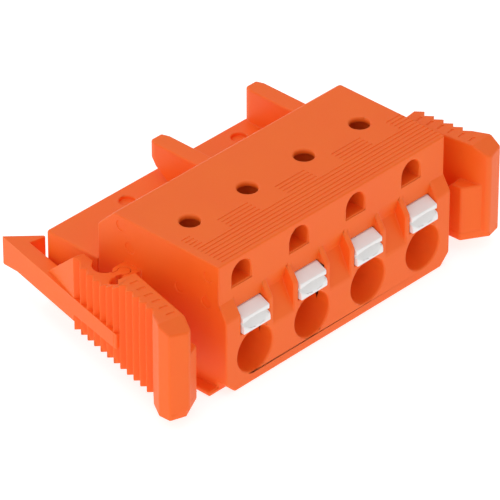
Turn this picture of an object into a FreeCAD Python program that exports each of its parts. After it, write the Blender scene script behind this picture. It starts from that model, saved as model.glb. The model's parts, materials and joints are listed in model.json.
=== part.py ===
import FreeCAD, Part
import os
import re

import Sketcher
from FreeCAD import Vector

# Four-pole pluggable wire connector: a block with round wire entries and push buttons in
# front, a plug body behind it, and a locking lever hinged to each side.
# X runs along the poles, Y from the wire side to the plug side, Z up.
# Sub-parts are drawn with Y = 0 on the wire face and placed so that the origin is the
# middle of the underside. The levers are drawn about their own hinge pins.

sizes = {
    # whole connector
    "poles": 4,
    "pitch": 7.62,
    "block_depth": 16.25,
    "block_height": 13.7,
    "plug_depth": 6.75,
    "plug_height": 7.75,
    "joint_gap": 0.05,
    # front block shell
    "brow_setback": 0.93,
    "brow_low": 8.0,
    "brow_high": 9.53,
    "back_bevel": 2.05,
    "toe_bevel": 1.2,
    "front_wall": 2.2,
    "chamber_width": 5.0,
    "chamber_floor": 1.0,
    "chamber_top": 10.4,
    "flange_reach": 1.1,
    "flange_thickness": 0.55,
    "flange_start": 1.1,
    "flange_length": 8.3,
    # wire entries and the valleys between them
    "entry_height": 3.45,
    "entry_radius": 2.3,
    "entry_straight": 0.9,
    "throat_radius": 1.5,
    "sill_end": 4.2,
    "sill_drop": 0.35,
    "cheek_thickness": 0.65,
    "cheek_depth": 1.0,
    "cheek_low": 8.0,
    "cheek_high": 9.9,
    "valley_depth": 1.45,
    "valley_low": 5.0,
    "valley_high": 10.0,
    "valley_mid": 8.0,
    # test slots, test holes and grip lines
    "slot_offset": -0.8,
    "slot_width": 2.45,
    "slot_low": 10.8,
    "slot_high": 13.05,
    "slot_depth": 5.2,
    "slot_drop_start": 3.2,
    "slot_drop_half": 0.7,
    "test_radius": 1.0,
    "test_rim": 0.6,
    "test_relief": 1.7,
    "test_place": 8.2,
    "line_start": 1.35,
    "line_pitch": 0.5,
    "line_width": 0.15,
    "line_depth": 0.06,
    "line_margin": 0.9,
    "long_lines": 7,
    "short_lines": 4,
    "line_patch": 1.85,
    # round marks on the end walls
    "push_radius": 0.58,
    "push_depth": 0.07,
    "push_back_place": 13.25,
    "push_back_height": 12.7,
    "push_hinge_place": 12.15,
    "push_hinge_height": 10.75,
    "push_middle_place": 5.86,
    "push_middle_height": 9.35,
    "push_upper_place": 2.24,
    "push_upper_height": 12.14,
    "push_lower_place": 2.53,
    "push_lower_height": 9.23,
    # push buttons
    "button_width": 3.5,
    "button_gap": 0.06,
    "button_low": 5.95,
    "button_high": 8.15,
    "button_crown": 7.62,
    "button_proud": 0.3,
    "button_top_run": 1.0,
    "tail_end": 4.15,
    "tail_cut": 6.9,
    "tongue_end": 6.9,
    "shoulder_gap": 0.3,
    "shoulder_length": 0.9,
    "notch_height": 7.0,
    "notch_depth": 1.1,
    "notch_half": 0.6,
    "notch_wheel": 3.2,
    # clamp springs
    "spring_width": 3.4,
    "spring_thickness": 0.3,
    "spring_loop": 0.8,
    "spring_loop_place": 5.7,
    "spring_back_inset": 2.65,
    "spring_toe_place": 10.6,
    "spring_gap": 0.06,
    # contacts
    "bar_width": 3.6,
    "bar_thickness": 0.8,
    "bar_start": 4.35,
    "bar_lift": 0.08,
    "web_thickness": 0.8,
    "web_inset": 1.25,
    "blade_gap": 1.1,
    "blade_thickness": 0.4,
    "blade_low": 2.5,
    "blade_high": 4.9,
    "blade_inset": 1.6,
    "over_thickness": 0.3,
    "over_start_gap": 1.05,
    "over_length": 3.3,
    "over_margin": 0.35,
    # plug body
    "spigot_length": 1.5,
    "tunnel_width": 3.9,
    "tunnel_high": 5.85,
    "plug_lip": 0.8,
    "pin_width": 1.7,
    "pin_height": 1.8,
    "pin_flare": 0.3,
    "fin_thickness": 2.0,
    "fin_height": 11.4,
    "fin_one_place": -0.67,
    "fin_two_place": 12.3,
    "fin_bevel_side": 0.3,
    "fin_bevel_back": 0.9,
    "fin_undercut_high": 9.45,
    "fin_undercut_run": 2.4,
    "dimple_radius": 0.8,
    "dimple_depth": 0.35,
    "dimple_inset": 1.85,
    # levers: "out" is outwards from the hinge pin, "along" is forwards from it
    "hinge_place": 11.8,
    "hinge_out": 1.15,
    "hinge_low": 1.2,
    "hinge_high": 9.0,
    "hinge_floor": 0.5,
    "hinge_wall": 0.42,
    "pin_radius": 0.6,
    "pin_gap": 0.05,
    "neck_thickness": 0.62,
    "left_splay": 12.5,
    "right_splay": 7.0,
    "lever_height": 11.1,
    "rear_high": 9.8,
    "dip_back": 2.3,
    "dip_back_high": 9.25,
    "dip_front": 1.0,
    "dip_front_high": 9.1,
    "pad_rear": 3.55,
    "pad_rear_high": 10.3,
    "brow_start": 11.5,
    "brow_drop": 0.9,
    "lever_low": 1.85,
    "grip_outer": 3.35,
    "grip_back": 3.4,
    "grip_back_inner": 2.1,
    "grip_knee_out": 0.95,
    "grip_knee_along": 3.6,
    "grip_front_inner": 1.05,
    "head_start": 9.9,
    "head_outer": 3.95,
    "head_outer_along": 11.7,
    "head_front": 13.3,
    "head_low": 1.1,
    "head_round": 0.55,
    "rib_pitch": 1.105,
    "rib_count": 12,
    "rib_depth": 0.5,
    "rib_lead": 0.31,
    "bite_radius": 1.15,
    "bite_front_radius": 1.2,
    "bite_clearance": 0.13,
    "bite_along": 1.45,
    "bite_front_along": 1.75,
    "step_out": -0.45,
    "step_front": 11.28,
    "step_back": 3.6,
    "step_back_out": 0.3,
    "step_height": 7.05,
    "step_dip": 5.75,
    "step_dip_end": 9.0,
    "step_ramp": 1.2,
    "arm_high": 5.35,
    "arm_low": 2.75,
    "arm_tip": 15.9,
    "arm_tip_out": 3.35,
    "arm_start": 3.3,
    "arm_start_out": 3.41,
    "arm_start_low": 3.75,
    "arm_root_low": 3.55,
    "arm_thickness": 1.6,
    "hook_along": 13.5,
    "hook_out": 0.0,
    "hook_low": 2.15,
    "hook_knee": 3.0,
    "hook_blunt": 0.3,
    "gusset_end": 8.5,
    "gusset_end_out": 2.9,
    "gusset_thickness": 0.95,
    "tick_front": 10.9,
    "tick_pitch": 1.2,
    "tick_count": 6,
    "tick_length": 0.28,
    "tick_inner": 1.55,
    "tick_outer": 2.4,
    "tick_depth": 0.08,
}

doc = FreeCAD.newDocument("wire_connector")
sheet = doc.addObject("Spreadsheet::Sheet", "sizes")
for row, (alias, size) in enumerate(sizes.items(), start=1):
    sheet.set("A%d" % row, alias)
    sheet.set("B%d" % row, str(size))
    sheet.setAlias("B%d" % row, alias)
doc.recompute()

# places worked out from the sizes
half_width = "(poles * pitch / 2)"
first_pole = "(-(poles - 1) * pitch / 2)"
full_depth = "(block_depth + plug_depth)"
bar_low = "(chamber_floor + bar_lift)"
bar_high = "(chamber_floor + bar_lift + bar_thickness)"
button_half = "(button_width / 2)"
button_slot_half = "(button_width / 2 + button_gap)"
hinge_from_middle = "(poles * pitch / 2 + hinge_out)"
bead_socket_radius = "(pin_radius + pin_gap)"
hinge_outer_radius = "(pin_radius + pin_gap + hinge_wall)"
bite_out = "(pin_radius + pin_gap + hinge_wall + bite_clearance)"
web_place = "(block_depth - web_inset)"
over_start = "(block_depth + over_start_gap)"
spring_back = "(block_depth - spring_back_inset)"
arm_inner_tip_out = "(arm_tip_out - arm_thickness)"


def bound(text):
    """Points every size name in an expression at its cell."""
    return re.sub(r"\b[a-z]\w*\b", lambda m: "sizes." + m.group() if m.group() in sizes else m.group(), str(text))


def value(text):
    return float(sheet.evalExpression(bound(text)))


def tie(target, path, text):
    target.setExpression(path, bound(text))


def origin_feature(body, role):
    return next(f for f in body.Origin.OriginFeatures if f.Role == role)


def new_body(name):
    body = doc.addObject("PartDesign::Body", name)
    body.Label = name
    tie(body, "Placement.Base.y", "-" + full_depth + " / 2")
    return body


def new_sketch(body, role, offset):
    """An empty sketch on an origin plane of the body, moved along the plane's normal."""
    sketch = body.newObject("Sketcher::SketchObject", body.Name + "_sketch")
    sketch.AttachmentSupport = [(origin_feature(body, role), "")]
    sketch.MapMode = "FlatFace"
    tie(sketch, "AttachmentOffset.Base.z", offset)
    return sketch


def across(body, y="0"):
    """Sketch facing the wire side at a place along Y: x is X, y is Z."""
    return new_sketch(body, "XZ_Plane", "-(%s)" % y)


def along(body, x="0"):
    """Sketch seen from the side at a place along X: x is Y, y is Z."""
    return new_sketch(body, "YZ_Plane", x)


def level(body, z="0"):
    """Sketch seen from above at a height Z: x is X, y is Y."""
    return new_sketch(body, "XY_Plane", z)


def hold_point(sketch, geometry, end, x, y):
    for kind, text in (("DistanceX", x), ("DistanceY", y)):
        index = sketch.addConstraint(Sketcher.Constraint(kind, -1, 1, geometry, end, value(text)))
        tie(sketch, "Constraints[%d]" % index, text)


def outline(sketch, points):
    """Closed outline. Each point is (x, y), or (x, y, turn) where the side that leaves it is a
    half circle: turn 1 bends left on the way round, -1 bends right. A half circle's two ends
    share their x or their y, and so does its centre."""
    first = sketch.GeometryCount
    spots = [Vector(value(p[0]), value(p[1]), 0) for p in points]
    count = len(points)
    ends = []
    for i, point in enumerate(points):
        a, b = spots[i], spots[(i + 1) % count]
        if len(point) == 2:
            sketch.addGeometry(Part.LineSegment(a, b), False)
            ends.append((1, 2))
            continue
        chord = b - a
        bulge = Vector(chord.y, -chord.x, 0) * (point[2] / 2)
        sketch.addGeometry(Part.Arc(a, (a + b) * 0.5 + bulge, b), False)
        ends.append((1, 2) if point[2] > 0 else (2, 1))
    for i, point in enumerate(points):
        here, following = first + i, first + (i + 1) % count
        sketch.addConstraint(Sketcher.Constraint(
            "Coincident", here, ends[i][1], following, ends[(i + 1) % count][0]))
        hold_point(sketch, here, ends[i][0], point[0], point[1])
        if len(point) == 3:
            upright = abs(spots[i].x - spots[(i + 1) % count].x) < 1e-6
            kind, text = ("DistanceX", point[0]) if upright else ("DistanceY", point[1])
            index = sketch.addConstraint(Sketcher.Constraint(kind, -1, 1, here, 3, value(text)))
            tie(sketch, "Constraints[%d]" % index, text)
    return sketch


def box_outline(sketch, x_low, x_high, y_low, y_high):
    return outline(sketch, [(x_low, y_low), (x_high, y_low), (x_high, y_high), (x_low, y_high)])


def circle(sketch, x, y, radius):
    index = sketch.addGeometry(Part.Circle(Vector(value(x), value(y), 0), Vector(0, 0, 1), value(radius)), False)
    hold_point(sketch, index, 3, x, y)
    limit = sketch.addConstraint(Sketcher.Constraint("Radius", index, value(radius)))
    tie(sketch, "Constraints[%d]" % limit, radius)
    return sketch


def settle(body, feature):
    body.Tip = feature
    doc.recompute()
    if feature.Shape.isNull() or "Invalid" in feature.State or "Error" in feature.State:
        raise RuntimeError(feature.Name + " failed in " + body.Name)
    return feature


def volume(body):
    return body.Shape.Volume


def extrude(body, kind, sketch, length, both_ways=False, reverse=False):
    before = 0 if body.Tip is None else volume(body)
    feature = body.newObject("PartDesign::" + kind, body.Name + "_" + kind.lower())
    feature.Profile = sketch
    tie(feature, "Length", length)
    feature.SideType = "Symmetric" if both_ways else "One side"
    feature.Reversed = reverse
    settle(body, feature)
    changed = volume(body) - before
    if (kind == "Pad") != (changed > 1e-6):
        raise RuntimeError("%s changed nothing in %s" % (feature.Name, body.Name))
    return feature


def pad(body, sketch, length, **options):
    return extrude(body, "Pad", sketch, length, **options)


def pocket(body, sketch, length, **options):
    return extrude(body, "Pocket", sketch, length, **options)


def spin(body, kind, sketch, axis_role):
    """Turns a sketch round its own first construction line."""
    before = volume(body)
    feature = body.newObject("PartDesign::" + kind, body.Name + "_" + kind.lower())
    feature.Profile = sketch
    feature.ReferenceAxis = (sketch, [axis_role])
    feature.Angle = 360
    settle(body, feature)
    if abs(volume(body) - before) < 1e-6:
        raise RuntimeError("%s changed nothing in %s" % (feature.Name, body.Name))
    return feature


def spin_axis(sketch, x_one, y_one, x_two, y_two):
    a = Vector(value(x_one), value(y_one), 0)
    b = Vector(value(x_two), value(y_two), 0)
    index = sketch.addGeometry(Part.LineSegment(a, b), True)
    hold_point(sketch, index, 1, x_one, y_one)
    hold_point(sketch, index, 2, x_two, y_two)


def repeat(body, features, role, step, count, reverse=False):
    pattern = body.newObject("PartDesign::LinearPattern", body.Name + "_row")
    pattern.Originals = features
    pattern.Direction = (origin_feature(body, role), [""])
    pattern.Reversed = reverse
    tie(pattern, "Length", "(%s) * (%s - 1)" % (step, count))
    tie(pattern, "Occurrences", count)
    return settle(body, pattern)


def mirror(body, features):
    other = body.newObject("PartDesign::Mirrored", body.Name + "_mirror")
    other.Originals = features
    other.MirrorPlane = (origin_feature(body, "YZ_Plane"), [""])
    return settle(body, other)


def dress(body, kind, size, picks):
    """Fillet or Chamfer on the edges that a test picks out of the body's present shape."""
    base = body.Tip
    names = ["Edge%d" % (i + 1) for i, edge in enumerate(base.Shape.Edges) if picks(edge)]
    if not names:
        raise RuntimeError("no edge to dress on " + body.Name)
    feature = body.newObject("PartDesign::" + kind, body.Name + "_" + kind.lower())
    feature.Base = (base, names)
    tie(feature, "Radius" if kind == "Fillet" else "Size", size)
    return settle(body, feature)


def near(a, b):
    return abs(a - b) < 1e-4


# ---------------------------------------------------------------- front block

def front_housing():
    body = new_body("front_housing")
    side = outline(along(body), [
        ("0", "0"), ("block_depth", "0"),
        ("block_depth", "block_height - back_bevel"),
        ("block_depth - back_bevel", "block_height"),
        ("brow_setback", "block_height"),
        ("brow_setback", "brow_high"),
        ("0", "brow_low")])
    pad(body, side, "poles * pitch", both_ways=True)

    # toe corners and the thin foot flange beside each lever
    toe = outline(across(body), [
        (half_width + " - toe_bevel", "-0.01"), (half_width + " + 0.01", "-0.01"),
        (half_width + " + 0.01", "toe_bevel")])
    cut = pocket(body, toe, "flange_start")
    foot = box_outline(level(body), half_width + " - 0.2", half_width + " + flange_reach",
                       "flange_start", "flange_start + flange_length")
    flange = pad(body, foot, "flange_thickness")
    mirror(body, [cut, flange])

    # chambers, open to the plug side
    chamber = box_outline(across(body, "front_wall"), first_pole + " - chamber_width / 2",
                          first_pole + " + chamber_width / 2", "chamber_floor", "chamber_top")
    room = pocket(body, chamber, "block_depth - front_wall")
    sill = box_outline(across(body, "front_wall - 0.1"), first_pole + " - chamber_width / 2 - 0.1",
                       first_pole + " + chamber_width / 2 + 0.1",
                       "chamber_floor - 0.1", "button_low - sill_drop")
    guide = pad(body, sill, "sill_end - front_wall + 0.1", reverse=True)
    repeat(body, [room, guide], "X_Axis", "pitch", "poles")

    # wire entries: a round mouth that funnels down to the throat
    entry = along(body, first_pole)
    spin_axis(entry, "-1", "entry_height", "sill_end + 1", "entry_height")
    outline(entry, [
        ("-0.5", "entry_height"), ("sill_end + 0.5", "entry_height"),
        ("sill_end + 0.5", "entry_height + throat_radius"),
        ("sill_end", "entry_height + throat_radius"),
        ("entry_straight", "entry_height + entry_radius"),
        ("-0.5", "entry_height + entry_radius")])
    mouth = spin(body, "Groove", entry, "Axis0")
    repeat(body, [mouth], "X_Axis", "pitch", "poles")

    # button slots and the sloping recess between their cheeks
    slot = box_outline(across(body, "-0.5"), first_pole + " - " + button_slot_half,
                       first_pole + " + " + button_slot_half,
                       "button_low - button_gap", "button_high + button_gap")
    way = pocket(body, slot, "front_wall + 0.6")
    recess = outline(along(body, first_pole), [
        ("-0.5", "cheek_low"), ("cheek_depth", "cheek_low"),
        ("brow_setback", "cheek_high"), ("-0.5", "cheek_high")])
    slope = pocket(body, recess, "button_width + 2 * button_gap", both_ways=True)
    repeat(body, [way, slope], "X_Axis", "pitch", "poles")

    # valleys between the poles
    valley = outline(along(body, first_pole + " + pitch / 2"), [
        ("-0.5", "valley_low"), ("0", "valley_low"), ("valley_depth", "valley_mid"),
        ("brow_setback", "valley_high"), ("-0.5", "valley_high")])
    dip = pocket(body, valley, "pitch - button_width - 2 * button_gap - 2 * cheek_thickness", both_ways=True)
    repeat(body, [dip], "X_Axis", "pitch", "poles - 1")

    # arched test slots above the buttons, each with a window down into its chamber
    arch_centre = "(%s + slot_offset)" % first_pole
    arch = outline(across(body, "brow_setback - 0.2"), [
        (arch_centre + " - slot_width / 2", "slot_low"),
        (arch_centre + " + slot_width / 2", "slot_low"),
        (arch_centre + " + slot_width / 2", "slot_high - slot_width / 2", 1),
        (arch_centre + " - slot_width / 2", "slot_high - slot_width / 2")])
    hole = pocket(body, arch, "slot_depth")
    window = box_outline(level(body, "slot_low + 0.3"), arch_centre + " - slot_drop_half",
                         arch_centre + " + slot_drop_half",
                         "slot_drop_start", "brow_setback - 0.2 + slot_depth")
    drop = pocket(body, window, "slot_low + 0.3 - chamber_top + 0.2")
    repeat(body, [hole, drop], "X_Axis", "pitch", "poles")

    # round test holes in the top, wider below their rims
    test = circle(level(body, "block_height"), first_pole, "test_place", "test_radius")
    probe = pocket(body, test, "test_rim + 0.1")
    wide = circle(level(body, "block_height - test_rim"), first_pole, "test_place", "test_relief")
    relief = pocket(body, wide, "block_height - test_rim - chamber_top + 0.2")
    repeat(body, [probe, relief], "X_Axis", "pitch", "poles")

    # fine lines across the top: long ones in front, then broken ones that pass the holes by
    line_left = "(line_margin - %s)" % half_width
    line_right = "(%s - 0.02)" % half_width
    long_line = box_outline(level(body, "block_height"), line_left, line_right,
                            "line_start", "line_start + line_width")
    scratch = pocket(body, long_line, "line_depth")
    repeat(body, [scratch], "Y_Axis", "line_pitch", "long_lines")
    short_line = level(body, "block_height")
    starts = [line_left] + ["(%s + %d * pitch + line_patch)" % (first_pole, i) for i in range(int(value("poles")))]
    stops = ["(%s + %d * pitch - line_patch)" % (first_pole, i) for i in range(int(value("poles")))] + [line_right]
    for start, stop in zip(starts, stops):
        box_outline(short_line, start, stop, "line_start + long_lines * line_pitch",
                    "line_start + long_lines * line_pitch + line_width")
    broken = pocket(body, short_line, "line_depth")
    repeat(body, [broken], "Y_Axis", "line_pitch", "short_lines")

    # shallow round marks on both end walls where the moulding was pushed out
    marks = along(body, half_width)
    for spot in ("back", "hinge", "middle", "upper", "lower"):
        circle(marks, "push_%s_place" % spot, "push_%s_height" % spot, "push_radius")
    pushed = pocket(body, marks, "push_depth")
    mirror(body, [pushed])

    # hinge sockets that take the lever pins, one on each side
    knuckle = level(body, "hinge_low")
    outline(knuckle, [
        (half_width + " - 0.2", "hinge_place - " + hinge_outer_radius),
        (hinge_from_middle, "hinge_place - " + hinge_outer_radius, 1),
        (hinge_from_middle, "hinge_place + " + hinge_outer_radius),
        (half_width + " - 0.2", "hinge_place + " + hinge_outer_radius)])
    lug = pad(body, knuckle, "hinge_high - hinge_low")
    bead = circle(level(body, "hinge_low + hinge_floor"), hinge_from_middle, "hinge_place", bead_socket_radius)
    bore = pocket(body, bead, "hinge_high - hinge_low", reverse=True)
    gate_half = "(neck_thickness / 2 + pin_gap)"
    gate = outline(level(body, "hinge_low + hinge_floor"), [
        (hinge_from_middle, "hinge_place - " + gate_half),
        (hinge_from_middle + " + " + hinge_outer_radius + " + 0.1", "hinge_place - %s - 0.32" % gate_half),
        (hinge_from_middle + " + " + hinge_outer_radius + " + 0.1", "hinge_place + %s + 0.32" % gate_half),
        (hinge_from_middle, "hinge_place + " + gate_half)])
    gap = pocket(body, gate, "hinge_high - hinge_low", reverse=True)
    mirror(body, [lug, bore, gap])
    return body


# ---------------------------------------------------------------- plug body

def rear_housing():
    body = new_body("rear_housing")
    side = box_outline(along(body), "block_depth + joint_gap", full_depth, "0", "plug_height")
    pad(body, side, "poles * pitch", both_ways=True)

    # spigots close the chambers behind the springs
    spigot = box_outline(across(body, "block_depth - spigot_length"),
                         first_pole + " - chamber_width / 2 + joint_gap",
                         first_pole + " + chamber_width / 2 - joint_gap",
                         "chamber_floor + joint_gap", "chamber_top - joint_gap")
    plug_in = pad(body, spigot, "spigot_length + 2 * joint_gap", reverse=True)
    repeat(body, [plug_in], "X_Axis", "pitch", "poles")

    # contact tunnels with a funnelled pin entry at the back
    tunnel = box_outline(across(body, "block_depth - spigot_length"),
                         first_pole + " - tunnel_width / 2", first_pole + " + tunnel_width / 2",
                         "chamber_floor + joint_gap", "tunnel_high")
    bore = pocket(body, tunnel, "spigot_length + plug_depth - plug_lip")
    middle = "((blade_low + blade_high) / 2)"
    entry = box_outline(across(body, full_depth), first_pole + " - pin_width / 2",
                        first_pole + " + pin_width / 2",
                        middle + " - pin_height / 2", middle + " + pin_height / 2")
    pin_hole = pocket(body, entry, "plug_lip + 0.1", reverse=True)
    repeat(body, [bore, pin_hole], "X_Axis", "pitch", "poles")
    dress(body, "Chamfer", "pin_flare", lambda edge: at_pin_mouth(edge))

    # coding fins on the top
    fin = outline(level(body, "plug_height"), fin_plan("fin_one_place"))
    pad(body, fin, "fin_height - plug_height")
    under = outline(along(body, "fin_one_place"), [
        (full_depth + " - fin_undercut_run", "plug_height"),
        (full_depth + " + 0.1", "plug_height"),
        (full_depth + " + 0.1", "fin_undercut_high"),
        (full_depth, "fin_undercut_high")])
    pocket(body, under, "fin_thickness + 0.4", both_ways=True)
    fin = outline(level(body, "plug_height"), fin_plan("fin_two_place"))
    pad(body, fin, "fin_height - plug_height")

    # round dimples in the top where the moulding was pushed out
    marks = level(body, "plug_height")
    for place in ("%s + 0.65 * pitch" % first_pole, "%s + 2.65 * pitch" % first_pole):
        circle(marks, place, full_depth + " - dimple_inset", "dimple_radius")
    pocket(body, marks, "dimple_depth")
    return body


def at_pin_mouth(edge):
    box = edge.BoundBox
    back = value(full_depth)
    middle = value("(blade_low + blade_high) / 2")
    if not (near(box.YMin, back) and near(box.YMax, back)):
        return False
    if box.XLength > value("pin_width") + 0.1 or box.ZLength > value("pin_height") + 0.1:
        return False
    return abs(box.Center.z - middle) < value("pin_height") / 2 + 0.01


def fin_plan(place):
    """A fin from above: square at the block, its two rear corners drawn in."""
    left = "(%s - fin_thickness / 2)" % place
    right = "(%s + fin_thickness / 2)" % place
    return [
        (left, "block_depth + joint_gap"), (right, "block_depth + joint_gap"),
        (right, full_depth + " - fin_bevel_back"), (right + " - fin_bevel_side", full_depth),
        (left + " + fin_bevel_side", full_depth), (left, full_depth + " - fin_bevel_back")]


# ---------------------------------------------------------------- levers

def lever(name, side, splay):
    """A locking lever drawn about its hinge pin, then swung out by its splay."""
    body = new_body(name)
    tie(body, "Placement.Base.x", "%d * %s" % (side, hinge_from_middle))
    tie(body, "Placement.Base.y", "hinge_place - %s / 2" % full_depth)
    body.Placement.Rotation = FreeCAD.Rotation(Vector(0, 0, side), value(splay))
    tie(body, "Placement.Rotation.Angle", splay)

    def plan(z, points):
        """Outline from above; each point is (outwards, forwards)."""
        placed = [(x if side > 0 else "-(%s)" % x, "-(%s)" % y) for x, y in points]
        return outline(level(body, z), placed if side > 0 else placed[::-1])

    def profile(points, out="0"):
        """Outline from the side; each point is (forwards, up)."""
        return outline(along(body, "%d * (%s)" % (side, out)), [("-(%s)" % y, z) for y, z in points])

    def spot(z, x, y, radius):
        return circle(level(body, z), x if side > 0 else "-(%s)" % x, "-(%s)" % y, radius)

    def upright_at(x, y):
        def test(edge):
            box = edge.BoundBox
            long_enough = box.ZLength > value("lever_height - lever_low") / 2
            return (long_enough and abs(box.Center.x - side * value(x)) < 0.02
                    and abs(box.Center.y + value(y)) < 0.02)
        return test

    # arm with its hook, cut to its side view
    arm_root_out = "(arm_tip_out + (arm_start_out - arm_tip_out) * (arm_tip - grip_back) / (arm_tip + arm_start))"
    pad(body, plan("hook_low", [
        ("arm_tip_out", "-arm_tip"), ("arm_start_out", "arm_start"),
        ("grip_outer - rib_depth - 0.2", "arm_start + 0.35"),
        ("grip_back_inner", "-grip_back"),
        (arm_root_out + " - arm_thickness - 0.2", "-(grip_back + 1.2)"),
        (arm_inner_tip_out, "-hook_along"), ("hook_out", "-hook_along"),
        ("hook_out", "-(hook_along + hook_blunt)")]), "arm_high - hook_low")
    pocket(body, profile([
        ("-(arm_tip + 0.1)", "hook_low - 0.1"), ("arm_start + 0.5", "hook_low - 0.1"),
        ("arm_start + 0.5", "arm_start_low"), ("-grip_back", "arm_root_low"),
        ("-(grip_back + 0.05)", "arm_low"), ("-(arm_tip - hook_knee)", "arm_low"),
        ("-(arm_tip + 0.1)", "hook_low")]), "4 * grip_outer", both_ways=True)

    # gusset that ties the arm to the back of the grip
    pad(body, plan("arm_high - 0.1", [
        ("grip_outer", "-grip_back + 0.1"), ("grip_outer - gusset_thickness", "-grip_back + 0.1"),
        ("gusset_end_out - gusset_thickness", "-gusset_end"), ("gusset_end_out", "-gusset_end")]),
        "lever_height - arm_high + 0.1")
    pocket(body, profile([
        ("-grip_back", "rear_high"), ("-grip_back", "lever_height + 0.5"),
        ("-(gusset_end + 0.5)", "lever_height + 0.5"), ("-(gusset_end + 0.5)", "arm_high"),
        ("-gusset_end", "arm_high")]), "4 * grip_outer", both_ways=True)

    # inner step: a low block with a raised front
    pad(body, plan("lever_low", [
        ("step_back_out", "step_back"), ("grip_front_inner + 0.3", "step_back"),
        ("grip_front_inner + 0.3", "head_front - 0.65"), ("step_out", "step_front")]),
        "step_height - lever_low")
    pocket(body, profile([
        ("step_back - 0.1", "step_dip"), ("step_back - 0.1", "step_height + 0.1"),
        ("step_dip_end + step_ramp", "step_height + 0.1"), ("step_dip_end + step_ramp", "step_height"),
        ("step_dip_end", "step_dip")]), "4 * grip_outer", both_ways=True)

    # ribbed grip with its flared head, two round bites that leave the neck, and its stepped top
    pad(body, plan("lever_low", [
        ("grip_back_inner", "-grip_back"), ("grip_outer", "-grip_back"),
        ("grip_outer", "head_start"), ("head_outer", "head_outer_along"),
        ("head_outer - 0.35", "head_front - 0.35"), ("grip_front_inner + 0.3", "head_front"),
        ("grip_front_inner", "head_front - 1.6"), ("grip_knee_out", "grip_knee_along"),
        (bite_out, "bite_front_along"), (bite_out, "-bite_along")]), "lever_height - lever_low")
    dress(body, "Fillet", "head_round", upright_at("grip_front_inner + 0.3", "head_front"))
    pad(body, plan("head_low", [
        ("grip_outer", "head_start"), ("head_outer", "head_outer_along"),
        ("head_outer - 0.35", "head_front - 0.35"),
        ("grip_front_inner + 0.3 + head_round", "head_front - head_round * 0.3"),
        ("step_out", "step_front"), ("step_out + 0.1", "head_start")]), "lever_low - head_low + 0.1")
    for place, radius in (("bite_front_along", "bite_front_radius"), ("-bite_along", "bite_radius")):
        pocket(body, spot("lever_low - 0.1", bite_out, place, radius),
               "lever_height - lever_low + 0.2", reverse=True)
    pocket(body, profile([
        ("-grip_back", "rear_high"), ("-dip_back", "dip_back_high"), ("dip_front", "dip_front_high"),
        ("pad_rear", "pad_rear_high"), ("pad_rear", "lever_height + 0.1"),
        ("-grip_back", "lever_height + 0.1")]), "4 * grip_outer", both_ways=True)
    pocket(body, profile([
        ("brow_start", "lever_height"), ("head_front + 0.1", "lever_height - brow_drop"),
        ("head_front + 0.1", "lever_height + 0.1"), ("brow_start", "lever_height + 0.1")]),
        "4 * grip_outer", both_ways=True)

    # neck and hinge pin
    pad(body, plan("hinge_low + hinge_floor + pin_gap", [
        ("0", "-neck_thickness / 2"), (bite_out + " + 0.15", "-neck_thickness / 2"),
        (bite_out + " + 0.15", "neck_thickness / 2"), ("0", "neck_thickness / 2")]),
        "hinge_high - hinge_low - hinge_floor - pin_gap")
    pad(body, spot("hinge_low + hinge_floor + pin_gap", "0", "0", "pin_radius"),
        "hinge_high - hinge_low - hinge_floor - pin_gap")

    # ribs, one notch repeated from the head to the back
    notch = pocket(body, plan("lever_low - 0.1", [
        ("grip_outer + 0.01", "head_start"), ("grip_outer - rib_depth", "head_start - rib_pitch + rib_lead"),
        ("grip_outer + 0.01", "head_start - rib_pitch")]), "lever_height - lever_low + 0.2", reverse=True)
    repeat(body, [notch], "Y_Axis", "rib_pitch", "rib_count")

    # the arm's root fills the notches behind it
    pad(body, profile([
        ("arm_start + 0.5", "arm_start_low"), ("-grip_back", "arm_root_low"),
        ("-grip_back", "arm_high"), ("arm_start + 0.5", "arm_high")],
        "grip_outer - rib_depth - 0.1"), "rib_depth + 0.13", reverse=side < 0)

    # a row of plain ticks on the top of the grip
    tick = pocket(body, plan("lever_height", [
        ("tick_inner", "tick_front"), ("tick_outer", "tick_front"),
        ("tick_outer", "tick_front - tick_length"), ("tick_inner", "tick_front - tick_length")]), "tick_depth")
    repeat(body, [tick], "Y_Axis", "tick_pitch", "tick_count")
    return body


# ---------------------------------------------------------------- buttons, springs and contacts

def pole_place(number):
    return "(%s + %d * pitch)" % (first_pole, number)


def at_pole(name, number):
    body = new_body(name)
    tie(body, "Placement.Base.x", pole_place(number))
    return body


def button(name, number):
    body = at_pole(name, number)
    crown = "(button_proud - 0.15)"
    pad(body, outline(along(body), [
        ("-button_proud", "button_low"), ("tongue_end", "button_low"),
        ("tongue_end", "tail_cut"), ("tail_end", "tail_cut"),
        ("tail_end - (button_high - tail_cut) * 0.6", "button_high"),
        ("button_top_run", "button_high"), ("-%s" % crown, "button_crown"),
        ("-%s" % crown, "notch_height"), ("-button_proud", "notch_height - 0.62")]),
        "button_width", both_ways=True)
    wheel = along(body)
    spin_axis(wheel, "notch_depth - button_proud - notch_wheel", "0",
              "notch_depth - button_proud - notch_wheel", "1")
    outline(wheel, [
        ("notch_depth - button_proud", "notch_height"),
        ("-button_proud - 0.4", "notch_height + notch_half * 0.75"),
        ("-button_proud - 0.4", "notch_height - notch_half * 1.6")])
    spin(body, "Groove", wheel, "Axis0")
    shoulder = box_outline(across(body, "front_wall + joint_gap"),
                           "-(chamber_width / 2 - shoulder_gap)", "chamber_width / 2 - shoulder_gap",
                           "button_low", "tail_cut")
    pad(body, shoulder, "shoulder_length", reverse=True)
    return body


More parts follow.
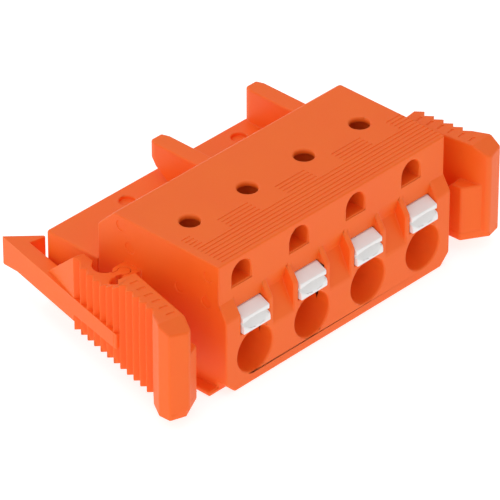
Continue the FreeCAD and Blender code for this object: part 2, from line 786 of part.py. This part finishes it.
def clamp_spring(name, number):
    body = at_pole(name, number)
    high = "(chamber_top - spring_gap)"
    low = "(%s - 2 * spring_loop)" % high
    toe = "(%s + spring_gap)" % bar_high
    pad(body, outline(along(body), [
        (spring_back, high), ("spring_loop_place", high, 1),
        ("spring_loop_place", low), ("spring_loop_place + 0.5", low),
        ("spring_toe_place", toe), ("spring_toe_place + spring_thickness", toe + " + 0.15"),
        ("spring_loop_place + 0.5 + spring_thickness * 0.8", low + " + spring_thickness"),
        ("spring_loop_place", low + " + spring_thickness", -1),
        ("spring_loop_place", high + " - spring_thickness"),
        (spring_back, high + " - spring_thickness")]), "spring_width", both_ways=True)
    return body


def contact(name, number):
    body = at_pole(name, number)
    blade_span = "(blade_gap + 2 * blade_thickness)"
    pad(body, box_outline(along(body), "bar_start", web_place + " + web_thickness", bar_low, bar_high),
        "bar_width", both_ways=True)
    pad(body, box_outline(along(body), web_place, web_place + " + web_thickness", bar_low, "blade_high"),
        blade_span + " + 0.6", both_ways=True)
    blade = box_outline(level(body, "blade_low"), "blade_gap / 2", "blade_gap / 2 + blade_thickness",
                        web_place + " + web_thickness / 2", full_depth + " - blade_inset")
    cheek = pad(body, blade, "blade_high - blade_low")
    mirror(body, [cheek])
    return body


def contact_spring(name, number):
    body = at_pole(name, number)
    inner = "(blade_gap / 2 + blade_thickness + joint_gap)"
    low = "(blade_low - over_margin)"
    high = "(blade_high + joint_gap + over_thickness)"
    pad(body, box_outline(across(body, over_start), "-(%s + over_thickness)" % inner,
                          "%s + over_thickness" % inner, low, high), "over_length", reverse=True)
    hollow = box_outline(across(body, over_start), "-" + inner, inner, low + " - 0.1", "blade_high + joint_gap")
    pocket(body, hollow, "over_length")
    return body


parts = [front_housing(), rear_housing(), lever("left_latch", -1, "left_splay"),
         lever("right_latch", 1, "right_splay")]
for pole in range(int(value("poles"))):
    parts.append(button("button_%d" % (pole + 1), pole))
    parts.append(clamp_spring("clamp_spring_%d" % (pole + 1), pole))
    parts.append(contact("contact_%d" % (pole + 1), pole))
    parts.append(contact_spring("contact_spring_%d" % (pole + 1), pole))
doc.recompute()

for item in doc.Objects:
    if "Invalid" in item.State or "Error" in item.State:
        raise RuntimeError("not computed: " + item.Name)
for part in parts:
    if part.Shape.isNull() or not part.Shape.isValid() or len(part.Shape.Solids) != 1:
        raise RuntimeError("not one valid solid: " + part.Label)

os.makedirs("parts", exist_ok=True)
for part in parts:
    part.Shape.exportStep("parts/%s.step" % part.Label)
    box = part.Shape.BoundBox
    print("%-18s %8.2f mm3  x %.2f..%.2f  y %.2f..%.2f  z %.2f..%.2f" % (
        part.Label, part.Shape.Volume, box.XMin, box.XMax, box.YMin, box.YMax, box.ZMin, box.ZMax))
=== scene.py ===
import json
import math

import bmesh
import bpy
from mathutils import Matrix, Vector, kdtree

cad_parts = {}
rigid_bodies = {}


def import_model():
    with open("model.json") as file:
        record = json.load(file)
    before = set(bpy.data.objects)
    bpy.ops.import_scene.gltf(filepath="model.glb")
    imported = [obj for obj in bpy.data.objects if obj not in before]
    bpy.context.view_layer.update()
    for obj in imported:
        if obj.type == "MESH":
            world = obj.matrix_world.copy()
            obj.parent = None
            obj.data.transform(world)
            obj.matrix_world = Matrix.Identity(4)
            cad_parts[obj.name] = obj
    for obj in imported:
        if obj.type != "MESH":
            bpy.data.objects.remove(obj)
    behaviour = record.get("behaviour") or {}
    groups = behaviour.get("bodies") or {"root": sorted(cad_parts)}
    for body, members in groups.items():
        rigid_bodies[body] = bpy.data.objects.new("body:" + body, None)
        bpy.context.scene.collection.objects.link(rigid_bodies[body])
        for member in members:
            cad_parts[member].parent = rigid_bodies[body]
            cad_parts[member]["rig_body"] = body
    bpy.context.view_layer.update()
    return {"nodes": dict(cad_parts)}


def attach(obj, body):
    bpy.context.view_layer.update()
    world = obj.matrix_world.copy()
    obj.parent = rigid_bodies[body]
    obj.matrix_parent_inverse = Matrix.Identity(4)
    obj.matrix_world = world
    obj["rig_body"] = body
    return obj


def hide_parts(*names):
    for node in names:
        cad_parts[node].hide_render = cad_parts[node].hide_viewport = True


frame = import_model()
scene = bpy.context.scene
mm = 0.001
poles = range(1, 5)
print("frame loaded:", len(frame["nodes"]), "nodes")

# ---- view

view = {"place": (-0.29942, -0.28307, 0.27734), "tilt": 56.39, "turn": -46.61, "lens": 380.5,
        "sensor": 36, "nearest": 0.01}

cameraData = bpy.data.cameras.new("viewCamera")
cameraData.lens = view["lens"]
cameraData.sensor_width = view["sensor"]
cameraData.clip_start = view["nearest"]
camera = bpy.data.objects.new("viewCamera", cameraData)
camera.location = view["place"]
camera.rotation_euler = (math.radians(view["tilt"]), 0, math.radians(view["turn"]))
scene.collection.objects.link(camera)
scene.camera = camera
scene.view_settings.view_transform = "Standard"
print("camera placed")

# ---- shader maths


class Shade:
    # wraps one socket of a material, so that patterns can be written as sums

    def __init__(self, tree, socket=None):
        self.tree = tree
        self.socket = socket

    def node(self, kind, settings, sockets, output=0):
        made = self.tree.nodes.new("ShaderNode" + kind)
        for name, setting in settings.items():
            setattr(made, name, setting)
        for name, given in sockets.items():
            if isinstance(given, Shade):
                self.tree.links.new(given.socket, made.inputs[name])
            else:
                made.inputs[name].default_value = given
        return Shade(self.tree, made.outputs[output])

    def maths(self, operation, first, second):
        return self.node("Math", {"operation": operation}, {0: first, 1: second})

    def __add__(self, other):
        return self.maths("ADD", self, other)

    def __radd__(self, other):
        return self.maths("ADD", other, self)

    def __sub__(self, other):
        return self.maths("SUBTRACT", self, other)

    def __rsub__(self, other):
        return self.maths("SUBTRACT", other, self)

    def __mul__(self, other):
        return self.maths("MULTIPLY", self, other)

    def __rmul__(self, other):
        return self.maths("MULTIPLY", other, self)

    def clipped(self, low, high):
        # 0 below low, 1 above high
        return self.node("MapRange", {"clamp": True}, {"Value": self, "From Min": low, "From Max": high})

    def blend(self, first, second):
        # a colour between two, this mask being the share of the second
        return self.node("Mix", {"data_type": "RGBA"}, {"Factor": self, 6: first, 7: second}, 2)

    def feed(self, shader, name):
        self.tree.links.new(self.socket, shader.inputs[name])


def newMaterial(name, fixed):
    material = bpy.data.materials.new(name)
    material.use_nodes = True
    shader = material.node_tree.nodes["Principled BSDF"]
    for socket, given in fixed.items():
        shader.inputs[socket].default_value = given
    return material, shader, Shade(material.node_tree)


def noise(shade, place, scale, detail, roughness):
    return shade.node("TexNoise", {}, {
        "Vector": place, "Scale": scale, "Detail": detail, "Roughness": roughness})


def edgeMask(shade, radius, samples=6):
    # rises where the surface turns, over about this radius
    rounded = shade.node("Bevel", {"samples": samples}, {"Radius": radius})
    flat = shade.node("NewGeometry", {}, {}, "Normal")
    return 1 - shade.node("VectorMath", {"operation": "DOT_PRODUCT"}, {0: rounded, 1: flat}, "Value")


# what every moulded plastic here has in common: noise as (detail, roughness), masks as (low, high)
mould = {
    "ior": 1.5, "cloudNoise": (3.0, 0.55), "grainNoise": (3.0, 0.6), "grainMiddle": 0.5,
    # the last two masks on the next line set where sharp edges get a painted highlight
    "cloudMask": (0.32, 0.68), "speckMask": (0.62, 0.78), "wornMask": (0.02, 0.22), "wornCloud": (-0.6, 1.0),
    "cloudRough": 0.04, "wornPolish": 0.08, "grainHeight": 0.6, "pitHeight": 0.4,
}


def mouldedPlastic(name, look):
    # spark-eroded skin: fine grain in the bump, cloudy flow in the colour, paler sharp edges as a painted
    # highlight
    material, shader, shade = newMaterial(name, {
        "IOR": mould["ior"], "Specular IOR Level": look["gloss"], "Subsurface Weight": look["glow"],
        "Subsurface Radius": look["glowReach"], "Subsurface Scale": look["glowScale"]})
    place = shade.node("TexCoord", {}, {}, "Object")
    cloud = noise(shade, place, look["cloudScale"], *mould["cloudNoise"]).clipped(*mould["cloudMask"])
    grain = noise(shade, place, look["grainScale"], *mould["grainNoise"])
    pits = shade.node("TexVoronoi", {"feature": "SMOOTH_F1"}, {
        "Vector": place, "Scale": look["pitScale"]}, "Distance")
    # mask of the sharp edges: it lightens their colour as a painted highlight, and lowers their roughness
    highlightEdges = edgeMask(shade, look["wearReach"]).clipped(*mould["wornMask"])
    speck = grain.clipped(*mould["speckMask"]) * look["speck"]
    paintedEdgeHighlight = highlightEdges * look["wear"] * cloud.clipped(*mould["wornCloud"])
    skin = speck.blend(cloud.blend(look["deep"], look["colour"]), look["pale"])
    # the paler colour along sharp edges is a painted highlight
    paintedEdgeHighlight.blend(skin, look["pale"]).feed(shader, "Base Color")
    grainRough = (grain - mould["grainMiddle"]) * look["roughSwing"]
    rough = look["rough"] + grainRough + cloud * mould["cloudRough"] - highlightEdges * mould["wornPolish"]
    rough.feed(shader, "Roughness")
    height = grain * mould["grainHeight"] + pits * mould["pitHeight"]
    bump = shade.node("Bump", {}, {"Strength": look["bump"], "Distance": look["bumpDepth"], "Height": height})
    bump.feed(shader, "Normal")
    return material


strip = {
    "squeeze": (9.0, 0.6, 0.6), "streakNoise": (4.0, 0.6), "stainNoise": (2.0, 0.5), "stainMask": (0.35, 0.7),
    "streakRough": 0.18, "stainRough": 0.08, "bump": 0.25, "bumpDepth": 0.00001,
}


def stripMetal(name, look):
    # rolled and stamped strip: fine streaks along it and small stains
    material, shader, shade = newMaterial(name, {"Metallic": 1.0})
    place = shade.node("TexCoord", {}, {}, "Object")
    along = shade.node("Mapping", {}, {"Vector": place, "Scale": strip["squeeze"]})
    streak = noise(shade, along, look["streakScale"], *strip["streakNoise"])
    stain = noise(shade, place, look["stainScale"], *strip["stainNoise"]).clipped(*strip["stainMask"])
    stain.blend(look["colour"], look["dull"]).feed(shader, "Base Color")
    rough = look["rough"] + streak * strip["streakRough"] + stain * strip["stainRough"]
    rough.feed(shader, "Roughness")
    bump = shade.node("Bump", {}, {
        "Strength": strip["bump"], "Distance": strip["bumpDepth"], "Height": streak})
    bump.feed(shader, "Normal")
    return material


orange = {
    "colour": (0.98, 0.150, 0.010, 1), "deep": (0.97, 0.138, 0.009, 1), "pale": (0.99, 0.235, 0.042, 1),
    "gloss": 0.35, "glow": 0.12, "glowReach": (1.0, 0.28, 0.08), "glowScale": 0.0006,
    "cloudScale": 160.0, "grainScale": 5200.0, "pitScale": 7000.0, "speck": 0.10,
    # the first two values on the next line set the painted highlight on sharp edges
    "wear": 0.45, "wearReach": 0.00022, "rough": 0.50, "roughSwing": 0.22, "bump": 0.22, "bumpDepth": 0.00002,
}
white = {
    "colour": (0.93, 0.92, 0.91, 1), "deep": (0.90, 0.89, 0.88, 1), "pale": (0.96, 0.96, 0.95, 1),
    "gloss": 0.5, "glow": 0.10, "glowReach": (1.0, 0.9, 0.85), "glowScale": 0.0004,
    "cloudScale": 420.0, "grainScale": 6500.0, "pitScale": 9000.0, "speck": 0.10,
    # the first two values on the next line set the painted highlight on sharp edges
    "wear": 0.6, "wearReach": 0.00012, "rough": 0.38, "roughSwing": 0.16, "bump": 0.12, "bumpDepth": 0.000015,
}
springSteel = {"colour": (0.58, 0.58, 0.57, 1), "dull": (0.43, 0.42, 0.40, 1), "rough": 0.22,
               "streakScale": 900.0, "stainScale": 350.0}
tinnedCopper = {"colour": (0.74, 0.71, 0.66, 1), "dull": (0.60, 0.50, 0.40, 1), "rough": 0.28,
                "streakScale": 700.0, "stainScale": 260.0}

orangeSkin = mouldedPlastic("orangePolyamide", orange)
whiteSkin = mouldedPlastic("whiteButtonPlastic", white)
steelSkin = stripMetal("springSteel", springSteel)
tinSkin = stripMetal("tinnedCopper", tinnedCopper)
print("materials made")

# ---- rounded copies of the moulded pieces

# an edge is sharp from the angle "sharp" on, and carries on into the next one up to the angle "bend";
# the shares say how much of the free room and of the run lengths a rounding may take
edgeRules = {
    "sharp": math.radians(24), "bend": math.radians(36), "flat": math.radians(0.8), "weld": 0.001 * mm,
    "spacing": 0.2 * mm, "roomShare": 0.4, "ownShare": 0.3, "metShare": 0.4,
}

# two places where a rounding would spike: round the hinge beads, and where a latch head meets its arm
hinges = {"out": 16.39 * mm, "back": 0.3 * mm, "reach": 1.25 * mm, "round": 0.03 * mm}
headSeam = {"height": 1.85 * mm, "front": -10.0 * mm, "reach": 0.02 * mm, "round": 0.01 * mm}


def smoothRuns(work, sharp, bend):
    # the run that every sharp edge belongs to, named by one of its edges: those that carry on nearly
    # straight share one
    run = {edge: edge for edge in sharp}

    def head(edge):
        while run[edge] is not edge:
            edge = run[edge]
        return edge

    for corner in work.verts:
        here = [edge for edge in corner.link_edges if edge in run]
        for i, first in enumerate(here):
            for second in here[i + 1:]:
                one = (first.other_vert(corner).co - corner.co).normalized()
                two = (second.other_vert(corner).co - corner.co).normalized()
                if one.dot(two) < -math.cos(bend):
                    run[head(first)] = head(second)
    return {edge: head(edge) for edge in sharp}


def atHinge(edge):
    middle = (edge.verts[0].co + edge.verts[1].co) / 2
    return math.hypot(abs(middle.x) - hinges["out"], middle.y - hinges["back"]) < hinges["reach"]


def atHeadSeam(edge):
    middle = (edge.verts[0].co + edge.verts[1].co) / 2
    off = max(abs(corner.co.z - headSeam["height"]) for corner in edge.verts)
    return middle.y < headSeam["front"] and off < headSeam["reach"]


def roundWidths(work, widest, hollowShare):
    # how wide each sharp edge can be rounded before it meets another one
    sharp = [e for e in work.edges if e.is_manifold and e.calc_face_angle(0) > edgeRules["sharp"]]
    run = smoothRuns(work, sharp, edgeRules["bend"])
    runLength, meets = {}, {}
    for edge in sharp:
        runLength[run[edge]] = runLength.get(run[edge], 0) + edge.calc_length()
        meets.setdefault(run[edge], set())
    for corner in work.verts:
        here = {run[edge] for edge in corner.link_edges if edge in run}
        for name in here:
            meets[name] |= here
    points = []
    for edge in sharp:
        steps = max(1, math.ceil(edge.calc_length() / edgeRules["spacing"]))
        ends = [corner.co for corner in edge.verts]
        points += [(ends[0].lerp(ends[1], (k + 0.5) / steps), edge) for k in range(steps)]
    tree = kdtree.KDTree(len(points))
    for index, (place, edge) in enumerate(points):
        tree.insert(place, index)
    tree.balance()
    room = {edge: widest / edgeRules["roomShare"] for edge in sharp}
    for place, edge in points:
        for found, index, gap in tree.find_range(place, room[edge]):
            other = points[index][1]
            if run[other] not in meets[run[edge]] and gap < room[edge]:
                room[edge] = gap
    widths = {}
    for edge in sharp:
        width = min(widest, edgeRules["roomShare"] * room[edge], edgeRules["ownShare"] * runLength[run[edge]])
        for name in meets[run[edge]]:
            width = min(width, edgeRules["metShare"] * runLength[name])
        if atHinge(edge):
            width = min(width, hinges["round"])
        if atHeadSeam(edge):
            width = min(width, headSeam["round"])
        widths[edge] = width * (1 if edge.is_convex else hollowShare)
    return widths


def roundedCopy(nodeName, look, skin):
    # the CAD node merged into whole faces, with a bevel on its sharp edges
    work = bmesh.new()
    work.from_mesh(frame["nodes"][nodeName].data)
    bmesh.ops.remove_doubles(work, verts=work.verts, dist=edgeRules["weld"])
    bmesh.ops.dissolve_limit(work, angle_limit=edgeRules["flat"], verts=work.verts, edges=work.edges)
    weight = work.edges.layers.float.new("bevel_weight_edge")
    widths = roundWidths(work, look["round"], look["hollowShare"])
    for edge, width in widths.items():
        edge[weight] = width / look["round"]
    for face in work.faces:
        face.smooth = True
    mesh = bpy.data.meshes.new(nodeName + "_rounded")
    work.to_mesh(mesh)
    work.free()
    piece = bpy.data.objects.new(nodeName + "_rounded", mesh)
    scene.collection.objects.link(piece)
    bevel = piece.modifiers.new("rounding", "BEVEL")
    bevel.limit_method = "WEIGHT"
    bevel.width = look["round"]
    bevel.segments = look["segments"]
    bevel.use_clamp_overlap = False
    normals = piece.modifiers.new("evenNormals", "WEIGHTED_NORMAL")
    normals.keep_sharp = True
    mesh.materials.clear()
    mesh.materials.append(skin)
    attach(piece, frame["nodes"][nodeName]["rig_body"])
    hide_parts(nodeName)
    return piece


housingRounding = {"round": 0.20 * mm, "hollowShare": 0.5, "segments": 3}
latchRounding = {"round": 0.20 * mm, "hollowShare": 0.5, "segments": 3}
buttonRounding = {"round": 0.09 * mm, "hollowShare": 0.3, "segments": 3}

orangePieces = [
    ("front_housing", housingRounding, "housing"),
    ("rear_housing", housingRounding, "housing"),
    ("left_latch", latchRounding, "latch"),
    ("right_latch", latchRounding, "latch"),
]
for name, rounding, slot in orangePieces:
    roundedCopy(name, rounding, orangeSkin)
for number in poles:
    roundedCopy("button_%d" % number, buttonRounding, whiteSkin)
print("moulded pieces rounded")

# ---- metal inside

for number in poles:
    for name, skin in (("clamp_spring", steelSkin), ("contact_spring", steelSkin), ("contact", tinSkin)):
        mesh = frame["nodes"]["%s_%d" % (name, number)].data
        mesh.materials.clear()
        mesh.materials.append(skin)
print("metal parts finished")

# ---- floor and light

studio = {
    "floorReach": 3.0, "floorDrop": 0.05 * mm, "floorTone": 0.5, "floorRough": 0.9, "floorGloss": 0.1,
    "floorLift": 0.75, "sky": 0.63,
    "lamps": [  # name, place, size, watts
        ("keyLamp", (-0.62, -0.12, 0.34), 0.5, 0.9),
        ("topLamp", (0.10, 0.10, 0.80), 0.5, 0.65),
        ("rimLamp", (0.05, 0.60, 0.35), 0.4, 0.7)],
}

work = bmesh.new()
bmesh.ops.create_grid(work, x_segments=2, y_segments=2, size=studio["floorReach"])
bmesh.ops.translate(work, verts=work.verts, vec=(0, 0, -studio["floorDrop"]))
floorMesh = bpy.data.meshes.new("floor")
work.to_mesh(floorMesh)
work.free()
floor = bpy.data.objects.new("floor", floorMesh)
scene.collection.objects.link(floor)
floorSkin, floorShader, floorShade = newMaterial("paleFloor", {
    "Base Color": (studio["floorTone"],) * 3 + (1,), "Roughness": studio["floorRough"],
    "Specular IOR Level": studio["floorGloss"],
    "Emission Color": (1, 1, 1, 1), "Emission Strength": studio["floorLift"]})
floorMesh.materials.append(floorSkin)

world = bpy.data.worlds.new("studioSky")
world.use_nodes = True
world.node_tree.nodes["Background"].inputs["Color"].default_value = (1, 1, 1, 1)
world.node_tree.nodes["Background"].inputs["Strength"].default_value = studio["sky"]
scene.world = world

for name, place, size, watts in studio["lamps"]:
    lampData = bpy.data.lights.new(name, "AREA")
    lampData.size = size
    lampData.energy = watts
    lamp = bpy.data.objects.new(name, lampData)
    lamp.location = place
    lamp.rotation_euler = Vector(place).to_track_quat("Z", "Y").to_euler()
    scene.collection.objects.link(lamp)
print("floor and light set")
